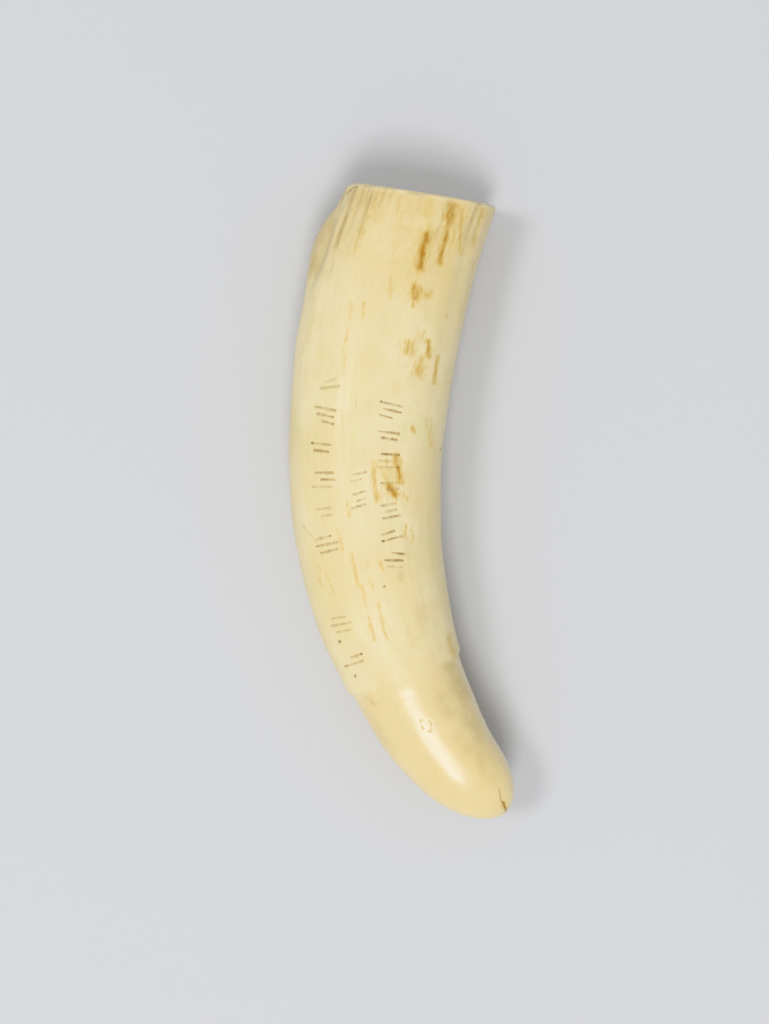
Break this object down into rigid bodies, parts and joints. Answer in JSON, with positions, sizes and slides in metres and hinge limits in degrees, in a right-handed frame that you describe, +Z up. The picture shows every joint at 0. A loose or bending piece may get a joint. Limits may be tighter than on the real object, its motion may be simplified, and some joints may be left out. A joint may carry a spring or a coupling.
{
  "type": "scrimshaw whale tooth",
  "caption": "Curved ivory tooth lying on its side, sawn off flat and hollow at the root, worn at the tip, with rows of shallow scratched strokes.",
  "frame": {"origin": "middle of the tooth's plan box, on the surface that it lies on", "axes": "+X along the tooth from the sawn root end to the tip, +Y toward its concave side, +Z up from the surface that it lies on"},
  "size_m": [0.1308, 0.0462, 0.0275],
  "materials": {
    "ivory": "polished ivory, satin on the root and glossier on the crown"
  },
  "bodies": {
    "root": {"tooth": "ivory"}
  },
  "joints": []
}
